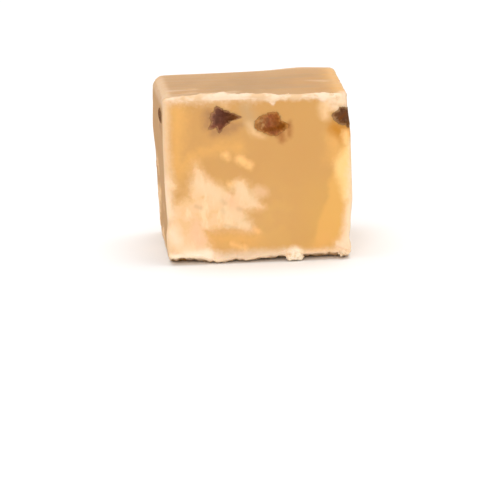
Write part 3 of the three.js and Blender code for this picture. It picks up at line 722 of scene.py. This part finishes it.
blockPoints, blockSquares = blockSurface()
fudge = meshObject("fudge_body", blockPoints, blockSquares.tolist())
for middle, half in np.array(fudgeBlock["lumps"]):
    # a ball of radius 0.95 + crags, wider at its top: x (1 + taper z)
    ball, faces = ballGrid(*fudgeBlock["lumpGrid"])
    crags = fudgeBlock["lumpCrags"] * cragginess(ball * half + middle, fudgeBlock["lumpCell"], 13)
    ball = ball * (0.95 + crags)[:, None]
    ball[:, 0] *= 1 + fudgeBlock["lumpTaper"] * ball[:, 2]
    lump = ball * half + middle
    lump[:, 2] = np.clip(lump[:, 2], 0.01, None)
    combine(fudge, meshObject("lump", lump, faces), "UNION")
for name, raisin in raisins.items():
    combine(fudge, pocketTool(name, raisin), "DIFFERENCE")
fudge.data.shade_smooth()
print("fudge block:", len(fudge.data.polygons), "faces")

raisinPieces = {name: raisinPiece(name, raisin) for name, raisin in raisins.items()}
print("raisins:", len(raisinPieces))


driedSkin = {  # a pair begins and ends a fade, in mm from the face
    "share": {"left": 0.85, "right": 0.35, "back": 0.35},  # how far a side has dried to the top's tan
    "front": (0.3, 0.8), "behindFront": (0.25, 0.8), "side": (0.3, 1.1), "top": (0.75, 0.3),
    "wornBack": (0.2, 1.4),  # the top's edges, rubbed paler
    "wornSide": (0.9, 0.7), "wornDown": (2.8, 0.9),  # full up to, spread; fade up the side
    "sideLip": (0.5, 1.0), "sideLipShare": 0.45,
}
dryCrust = {  # besides the front's own
    "crest": (0.4, 0.45, 0.2, 0.1),  # behind it: full up to, breadth, ragged, less on the right
    "under": 0.9, "underEdge": (0.1, 0.5), "underDepth": (1.5, 4),  # below the front's edge
    "lumps": (1.2, 0.9),  # a fade in shares of their size
}


def topShare(z):  # 1 on the top, 0 on the sides
    low, high = driedSkin["top"]
    return smooth(height - low, height - high, z)


def crustShown(points, warped):
    # the largest of the front's crust, the strip behind the crest, the face below the edge and the lumps
    x, z, inside = onSide(points, "front")
    uneven = cragginess(points, sugarLip["cell"], 21)
    aboveEdge = z - underLift(points)
    onFront = (1 - smooth(*driedSkin["front"], inside)) * crustOnFront(x, aboveEdge, uneven)
    upTo, breadth, ragged, less = dryCrust["crest"]
    breadth = breadth + ragged * uneven - less * smooth(-1, 2, x)
    behindCrest = bell(np.clip(inside - upTo, 0, None), breadth) * smooth(-halfWidth - 1, -10, x)
    below = dryCrust["under"] * (1 - smooth(*dryCrust["underEdge"], aboveEdge))
    below = below * (1 - smooth(*dryCrust["underDepth"], inside))
    fromLumps = np.min([np.linalg.norm((warped - middle) / (half + 0.1), axis=1)
                        for middle, half in np.array(fudgeBlock["lumps"])], axis=0)
    onLumps = smooth(*dryCrust["lumps"], fromLumps)
    return np.max([onFront, topShare(z) * behindCrest, below, onLumps], axis=0)


def stainDistance(points):  # how far inside the nearest raisin's outline, less how buried the point is
    stain = np.full(len(points), farFromMark)
    for raisin in raisins.values():
        across, up, under = onSide(points, raisin["side"])
        across, up = across - raisin["at"][0], up - raisin["at"][1]
        past = outline(raisin, np.degrees(np.arctan2(up, across))) - np.hypot(across, up)
        stain = np.maximum(stain, np.clip(past, farFromMark, 0.3) - buried(under))
    return stain


def markFudge(piece):
    # the marks' distances and the faces' tones as attributes, worked out where each point lies
    warped = pointsOf(piece)
    points = unwarp(warped)
    x, z, inside = onSide(points, "front")
    uneven = cragginess(points, sugarLip["cell"], 21)
    front = 1 - smooth(*driedSkin["front"], inside)
    behindFront = smooth(*driedSkin["behindFront"], inside)
    top = topShare(z)
    lip, dry = crustShown(points, warped), top
    worn = top * (1 - smooth(*driedSkin["wornBack"], halfDepth - points[:, 1]))
    upTo, spread = driedSkin["wornSide"]
    down, full = driedSkin["wornDown"]
    for side, amount in driedSkin["share"].items():
        across, up, under = onSide(points, side)
        dry = np.maximum(dry, amount * (1 - smooth(*driedSkin["side"], under)))
        rubbed = bell(np.clip(under - upTo, 0, None), spread) * smooth(height - down, height - full, z)
        worn = np.maximum(worn, rubbed)
        share = driedSkin["sideLipShare"] * (1 - smooth(*driedSkin["sideLip"], under))
        lip = np.maximum(lip, share * lipEdge("side", height - up, across, uneven))
    border = pastFacet(x, z) + facet["ragged"] * cragginess(points, facet["cell"], 73)
    upright = plateau(z + 0.6 * uneven, facet["shownFrom"], facet["top"], 1.2)
    shares = {name: strokeDistance(points, name) for name in marks}
    shares.update({
        "stain": stainDistance(points), "lip": lip, "dry": dry * behindFront,
        "shade": (1 - top) * (1 - 0.9 * worn) * behindFront, "worn": worn * smooth(0.8, 1.6, inside),
        "right": smooth(0, 13, x), "left": smooth(0, -13, x), "rear": smooth(4, 14, points[:, 1]),
        # facet: where its painted light shows
        "upper": smooth(7, 17, z), "facet": front * smooth(*facet["border"], border) * upright,
    })
    setAttributes(piece, shares)
    return list(shares), lip * front


fudgeMarks, lipShown = markFudge(fudge)


# Sugar crumbs: joined lumps that cling to the lip and lie half sunk in it

sugarCrumbs = {
    "count": 70, "smallest": 0.08, "largest": 0.22, "fewLarge": 2.2,  # the higher, the fewer large ones
    "sink": 0.1,  # how far out of the lip their middles lie, in radii
    "above": 0.45,  # none lower than this
    "grid": (9, 7), "uneven": 0.3, "squash": (0.65, 1.25), "cluster": 1.6,
}


def crumbPiece(block, chance):
    # unit balls with radius 1 + uneven grain, squashed, turned at random, and set on points of the block
    draw = np.random.default_rng(4)
    points = pointsOf(block)
    normals = np.empty(len(points) * 3)
    block.data.vertices.foreach_get("normal", normals)
    normals = normals.reshape(-1, 3)
    clustered = smooth(-0.1, 0.5, cragginess(points, sugarCrumbs["cluster"], 17))
    chance = chance * (points[:, 2] > sugarCrumbs["above"]) * clustered
    chosen = draw.choice(len(points), sugarCrumbs["count"], replace=False, p=chance / chance.sum())
    smallest, largest = sugarCrumbs["smallest"], sugarCrumbs["largest"]
    radius = smallest + (largest - smallest) * draw.uniform(0, 1, len(chosen)) ** sugarCrumbs["fewLarge"]
    ball, faces = ballGrid(*sugarCrumbs["grid"])
    squash = draw.uniform(*sugarCrumbs["squash"], (len(chosen), 1, 3))
    axes = np.linalg.qr(draw.normal(size=(len(chosen), 3, 3)))[0]
    axes *= np.sign(np.linalg.det(axes))[:, None, None]
    bumps = 1 + sugarCrumbs["uneven"] * draw.uniform(-1, 1, (len(chosen), len(ball), 1))
    middle = points[chosen] + normals[chosen] * (radius * sugarCrumbs["sink"])[:, None]
    lumps = np.einsum("nvi,nij->nvj", ball[None] * squash * bumps, axes) * radius[:, None, None]
    placed = (lumps + middle[:, None]).reshape(-1, 3)
    placed[:, 2] = np.clip(placed[:, 2], 0.02, None)
    allFaces = [[corner + len(ball) * n for corner in face] for n in range(len(chosen)) for face in faces]
    return meshObject("sugar_crumbs", placed, allFaces)


crumbs = crumbPiece(fudge, lipShown**3)
print("sugar crumbs:", len(crumbs.data.polygons), "faces")


# Materials

def colour(code):  # sRGB hex to linear: c / 12.92 up to 0.04045, else ((c + 0.055) / 1.055)^2.4
    parts = [int(code[i:i + 2], 16) / 255 for i in (1, 3, 5)]
    return [c / 12.92 if c <= 0.04045 else ((c + 0.055) / 1.055) ** 2.4 for c in parts] + [1]


# For each kind: the node, its fixed settings, the inputs that values go to in turn, and its output
nodeKinds = {
    "place": ("TexCoord", {}, (), "Object"),
    "moved": ("Mapping", {}, ("Vector", "Scale", "Location"), "Vector"),
    "noise": ("TexNoise", {}, ("Vector", "Scale", "Detail", "Roughness"), "Fac"),
    "mark": ("Attribute", {}, (), "Fac"),
    "ramp": ("ValToRGB", {}, ("Fac",), "Color"),
    "mix": ("Mix", {"data_type": "RGBA"}, (0, 6, 7), 2),  # factor, first and second colour
    "steps": ("MapRange", {"interpolation_type": "SMOOTHSTEP"},
              ("Value", "From Min", "From Max", "To Min", "To Max"), "Result"),
    "times": ("Math", {"operation": "MULTIPLY"}, (0, 1), "Value"),
    "timesPlus": ("Math", {"operation": "MULTIPLY_ADD"}, (0, 1, 2), "Value"),
    "less": ("Math", {"operation": "SUBTRACT"}, (0, 1), "Value"),
    "larger": ("Math", {"operation": "MAXIMUM"}, (0, 1), "Value"),
    "bump": ("Bump", {}, ("Height", "Strength", "Distance"), "Normal"),
    "shader": ("BsdfPrincipled", {}, (), "BSDF"),
    "output": ("OutputMaterial", {}, ("Surface",), None),
}


def addNode(tree, kind, *values, inputs=None, **settings):  # values and inputs may be sockets to link from
    typeName, fixed, places, output = nodeKinds[kind]
    node = tree.nodes.new("ShaderNode" + typeName)
    for name, value in {**fixed, **settings}.items():
        setattr(node, name, value)
    for place, value in [*zip(places, values), *(inputs or {}).items()]:
        if isinstance(value, bpy.types.NodeSocket):
            tree.links.new(value, node.inputs[place])
        else:
            node.inputs[place].default_value = value
    return None if output is None else node.outputs[output]


def shaken(add, value, noise, amount):  # value + amount (noise - 0.5)
    return add("timesPlus", add("less", noise, 0.5), amount, value)


def newMaterial(name):  # empty, with addNode for its tree
    material = bpy.data.materials.new(name)
    material.use_nodes = True
    material.node_tree.nodes.clear()
    return material, partial(addNode, material.node_tree)


def surface(add, look, inputs):  # the shader and its output; look gives the scatter of red, green and blue
    scatter = {"Subsurface Radius": look["scatter"], "Subsurface Scale": look["scatterLength"] * mm}
    add("output", add("shader", inputs={**inputs, **scatter}))


fudgeLook = {
    "colours": {
        "cut": "#d8a65e", "cutDeep": "#d29e5d", "dry": "#c39662", "dryDark": "#b98d5b",
        "sugar": "#f2c494", "sugarWarm": "#ecbe88", "sugarPale": "#f6d3a6", "sugarDull": "#d4ab7e",
        "lip": "#f4d7b9", "lipShade": "#e3bd92",
    },
    "cutTones": {  # colour, how much of it shows
        # the facet's tone is painted light: the facet made lighter, as if it faced the lamp
        "right": ("#d6a355", 1), "upper": ("#cf9a56", 0.8), "facet": ("#e8af5a", 0.75),
    },
    "dryTones": {
        "right": ("#c79255", 0.8), "left": ("#c19463", 0.8), "rear": ("#c89b6a", 0.8),
        "worn": ("#e0b68a", 0.8), "shade": ("#c09264", 0.9),
    },
    "under": {  # marks under the sugar: colour, softness of the border in mm, how much of it shows
        # the fudge darkened beside the raisins is painted shade
        "warm": ("#e8ae5e", 2, 0.9), "peach": ("#eac59b", 1, 0.95), "paintedRaisinShade": ("#a6774c", 1, 0.8),
        # the deep orange beside the right raisin is a painted glow
        # the pale streak along the facet's edge is a painted highlight
        "paintedGlow": ("#c57f0d", 1, 0.95), "juice": ("#a35d1c", 0.7, 0.85), "paintedHighlight": ("#fbcf86", 0.9, 0.95),
        "halo": ("#f6cd9a", 1, 0.85), "thin": ("#fbc57d", 0.75, 0.95), "pink": ("#e6b988", 0.7, 0.9),
        "stain": ("#996735", 0.6, 0.5), "milky": ("#c8a06e", 1.5, 0.9),
        "pale": ("#e6c29b", 1.2, 0.65), "dull": ("#b68d60", 1.2, 0.5),
    },
    "over": {  # and over it
        "milk": ("#eecda2", 1.2, 0.85), "crumbly": ("#eacdad", 0.9, 0.9), "cream": ("#f7d8b5", 1, 0.95),
        "rosy": ("#f0bb94", 1.2, 0.6), "white": ("#ffebd0", 0.6, 0.8),
    },
    # Size in mm, detail, stretch, start. The grit of real fudge is a tenth of this size, too fine to show
    # here, so it is drawn as coarse as it needs to be seen.
    "patterns": {
        "mottle": (5, 3, (1, 1, 1), 0), "patch": (2.2, 4, (1, 1, 1), 0.3), "tear": (0.6, 4, (1, 1, 1), 0.7),
        "wisps": (2.2, 3, (1.6, 1, 0.6), 1.1), "grit": (0.2, 3, (1, 1, 1), 0),
        "streaks": (3, 2, (0.7, 0.4, 1), 0), "blotches": (7, 1, (1, 0.5, 1), 2.3),
        "clumps": (2.6, 3, (0.7, 0.5, 1.3), 1.9),
    },
    "fades": {  # begin, end, and what it goes from and to
        "mottle": (0.35, 0.68), "dry": (0.36, 0.62), "patch": (0.38, 0.55), "wisps": (0.5, 0.68, 0, 0.8),
        "speck": (-0.5, 0.4, 0, 0.7), "torn": (-0.4, 0.6), "thinSugar": (-1.4, 0.1, 0, 0.4),
        "clumps": (0.38, 0.6), "lip": (0.05, 0.95),
    },
    "smearTorn": {"patch": 1.6, "tear": 0.9, "grit": 0.5},  # how far each pattern shifts its border, mm
    "dryness": (0.7, 0.3),  # of blotches and streaks
    "gritShown": (0.15, 1), "roughness": (0.5, 0.85), "scattering": (0.35, 0.12),  # on the cut, on the sugar
    "scatter": (1, 0.65, 0.35), "scatterLength": 0.6, "gritDepth": 0.05,  # mm
}


def fudgeMaterial():
    # Boiled sugar, butter and milk, beaten until it grains: close and waxy where the knife cut it, dry
    # and pale where the sugar has torn or recrystallised. The eye sees a soft sheen and a fine grit.
    look = fudgeLook
    material, add = newMaterial("grained_fudge")
    place, fades = add("place"), look["fades"]
    tint = {name: colour(code) for name, code in look["colours"].items()}
    mark = {name: add("mark", attribute_name=name) for name in fudgeMarks}
    noise = {}
    for name, (across, detail, stretch, start) in look["patterns"].items():
        moved = add("moved", place, stretch, (start, start, start))
        noise[name] = add("noise", moved, 1 / (across * mm), detail, 0.6)

    def withTones(body, kind):  # each tone's colour by its share
        for name, (code, amount) in look[kind].items():
            body = add("mix", add("times", mark[name], amount), body, colour(code))
        return body

    def withMarks(body, kind):  # each mark's colour where its distance, torn by noise, is inside
        for name, (code, soft, amount) in look[kind].items():
            border = shaken(add, mark[name], noise["tear"], 0.8 * soft)
            body = add("mix", add("steps", border, -soft, soft, 0.0, amount), body, colour(code))
        return body

    # the fresh cut, and the dried faces over it
    body = add("mix", add("steps", noise["mottle"], *fades["mottle"]), tint["cutDeep"], tint["cut"])
    blotched, streaked = look["dryness"]
    dryness = add("timesPlus", noise["blotches"], blotched, add("times", noise["streaks"], streaked))
    dry = add("mix", add("steps", dryness, *fades["dry"]), tint["dryDark"], tint["dry"])
    body = add("mix", mark["dry"], withTones(body, "cutTones"), withTones(dry, "dryTones"))
    body = withMarks(body, "under")

    # the torn sugar
    sugar = add("mix", add("steps", noise["patch"], *fades["patch"]), tint["sugarWarm"], tint["sugar"])
    sugar = add("mix", add("steps", noise["wisps"], *fades["wisps"]), sugar, tint["sugarPale"])
    spotted = add("steps", shaken(add, mark["speck"], noise["tear"], 0.5), *fades["speck"])
    sugar = add("mix", spotted, sugar, tint["sugarDull"])
    reach = mark["smear"]
    for name, amount in look["smearTorn"].items():
        reach = shaken(add, reach, noise[name], amount)
    torn = add("steps", reach, *fades["torn"])
    body = add("mix", add("steps", reach, *fades["thinSugar"]), body, tint["sugarWarm"])
    body = add("mix", torn, body, sugar)

    # the lip's crust
    rim = add("mix", add("steps", noise["clumps"], *fades["clumps"]), tint["lipShade"], tint["lip"])
    onLip = add("steps", shaken(add, mark["lip"], noise["tear"], 0.6), *fades["lip"])
    body = withMarks(add("mix", onLip, body, rim), "over")

    grainy = add("larger", torn, onLip)
    matt = add("larger", grainy, mark["shade"])
    bumpy = add("times", noise["grit"], add("steps", grainy, 0, 1, *look["gritShown"]))
    surface(add, look, {
        "Base Color": body, "Roughness": add("steps", matt, 0, 1, *look["roughness"]),
        "IOR": 1.45, "Specular IOR Level": 0.4, "Normal": add("bump", bumpy, 0.5, look["gritDepth"] * mm),
        "Subsurface Weight": add("steps", grainy, 0, 1, *look["scattering"])})
    return material


crumbLook = {
    "dark": "#efcda0", "pale": "#fadfc0", "clump": 1.2,  # mm
    "scatter": fudgeLook["scatter"], "scatterLength": 0.3,
}


def crumbMaterial():
    # Grained sugar broken off the edge: dry, pale and matt.
    material, add = newMaterial("sugar_grains")
    tone = add("noise", add("place"), 1 / (crumbLook["clump"] * mm), 2)
    surface(add, crumbLook, {
        "Base Color": add("mix", tone, colour(crumbLook["dark"]), colour(crumbLook["pale"])),
        "Roughness": 0.85, "IOR": 1.45, "Specular IOR Level": 0.4, "Subsurface Weight": 0.1})
    return material


raisinLook = {
    "pulp": 0.6, "pulpDepth": 0.1, "scatterLength": 0.5,  # mm
    "scatter": (1, 0.4, 0.2), "foldAmount": 0.35, "lowAmount": 0.8, "frayed": 1.2,
    "crease": "#783e08", "fold": "#2f1408",
    "flecks": (0.5, 0.66, 0, 0.9), "creased": (-0.35, 0.25, 0, 0.7), "rim": (0.3, 1.15, 0),  # fades
    "rampAt": (0.12, 0.42, 0.9),  # where along it a raisin has its three colours
}


def raisinMaterial(name, raisin):
    # Dried grape, cut through: dull dense flesh with paler pulp in it, darker in its folds and frayed
    # and pale round its skin.
    look = raisinLook
    material, add = newMaterial(name + "_dried_grape")
    along, low, fold, crease, rim = [
        add("mark", attribute_name=attribute) for attribute in ("along", "low", "fold", "crease", "rim")]
    pulp = add("noise", add("place"), 1 / (look["pulp"] * mm), 3)
    flesh = add("ramp", along)
    ramp = flesh.node.color_ramp
    ramp.elements.new(look["rampAt"][1])
    for element, at, code in zip(ramp.elements, look["rampAt"], raisin["colours"]):
        element.position, element.color = at, colour(code)
    upTo = raisin["fleckedUpTo"]
    flecked = add("steps", along, upTo - 0.1, upTo + 0.1, 1.0, 0.15)
    rimCode, rimAmount = raisin["rim"]
    layers = [  # how much shows, and its colour, from below
        (add("times", low, look["lowAmount"]), raisin["low"]),
        (add("times", add("steps", pulp, *look["flecks"]), flecked), raisin["fleck"]),
        (add("times", fold, look["foldAmount"]), look["fold"]),
        (add("steps", crease, *look["creased"]), look["crease"]),
        (add("steps", shaken(add, rim, pulp, look["frayed"]), *look["rim"], rimAmount), rimCode),
    ]
    for shown, code in layers:
        flesh = add("mix", shown, flesh, colour(code))
    surface(add, look, {
        "Base Color": flesh, "Roughness": 0.6, "IOR": 1.47, "Specular IOR Level": 0.02,
        "Normal": add("bump", pulp, 0.5, look["pulpDepth"] * mm), "Subsurface Weight": 0.15})
    return material


fudge.data.materials.clear()
fudge.data.materials.append(fudgeMaterial())
crumbs.data.materials.append(crumbMaterial())
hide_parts("fudge_block")
for piece in (fudge, crumbs):
    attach(piece, "root")
for name, piece in raisinPieces.items():
    piece.data.materials.append(raisinMaterial(name, raisins[name]))
    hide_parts(name)
    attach(piece, "root")
print("materials set")


# Floor, light and camera

studio = {
    "floorSize": 6.0, "floor": "#f8f8f8",
    "world": "#ffffff", "worldStrength": 0.62,
    "lights": {  # place in m from the cube, size in m, power in W
        "keySoftbox": ((-0.15, -1.15, 0.55), 0.6, 5.0),
        "topSoftbox": ((0.05, 0.15, 1.5), 1.4, 14.0),
    },
    "lightsAim": (0, 0, 0.013),
}
camera = {  # the aim is in mm from the block's own middle
    "aim": (-0.64, 0, -0.86), "distance": 550, "azimuth": -3.48, "elevation": 11.28, "roll": -1.58,
    "lens": 236.8, "sensor": 36.0, "clipStart": 0.01,
}


def makeFloor():
    half = studio["floorSize"] / 2
    mesh = bpy.data.meshes.new("floor")
    corners = [(-half, -half, 0), (half, -half, 0), (half, half, 0), (-half, half, 0)]
    mesh.from_pydata(corners, [], [(0, 1, 2, 3)])
    floor = addObject("floor", mesh)
    material, add = newMaterial("matt_white_board")  # smooth card, so it only shows soft shade
    add("output", add("shader", inputs={"Base Color": colour(studio["floor"]), "Roughness": 0.9}))
    mesh.materials.append(material)


def makeLights():
    world = bpy.data.worlds.new("studio_white")
    world.use_nodes = True
    background = world.node_tree.nodes["Background"]
    background.inputs["Color"].default_value = colour(studio["world"])
    background.inputs["Strength"].default_value = studio["worldStrength"]
    bpy.context.scene.world = world
    for name, (place, side, power) in studio["lights"].items():
        lamp = bpy.data.lights.new(name, "AREA")
        lamp.shape, lamp.size, lamp.energy = "SQUARE", side, power
        back = np.array(place) - np.array(studio["lightsAim"])
        addObject(name, lamp).matrix_world = lookMatrix(np.array(place), back / np.linalg.norm(back), 0)


def lookMatrix(place, back, roll):
    # columns: right = Z x back turned by the roll, up = back x right, and back, at that place
    right = np.cross((0, 0, 1), back)
    right /= np.linalg.norm(right)
    up = np.cross(back, right)
    c, s = math.cos(roll), math.sin(roll)
    matrix = np.eye(4)
    matrix[:3, 0], matrix[:3, 1], matrix[:3, 2] = c * right + s * up, c * up - s * right, back
    matrix[:3, 3] = place
    return Matrix(matrix)


def makeCamera():
    # aim + distance (sin a cos e, -cos a cos e, sin e)
    a, e = math.radians(camera["azimuth"]), math.radians(camera["elevation"])
    back = np.array([math.sin(a) * math.cos(e), -math.cos(a) * math.cos(e), math.sin(e)])
    place = (np.array(camera["aim"]) + toOrigin + camera["distance"] * back) * mm
    data = bpy.data.cameras.new("camera")
    data.sensor_fit, data.sensor_width, data.lens = "HORIZONTAL", camera["sensor"], camera["lens"]
    data.clip_start = camera["clipStart"]
    view = addObject("camera", data)
    view.matrix_world = lookMatrix(place, back, math.radians(camera["roll"]))
    bpy.context.scene.camera = view


makeFloor()
makeLights()
makeCamera()
bpy.context.scene.view_settings.view_transform = "Standard"
print("studio ready")
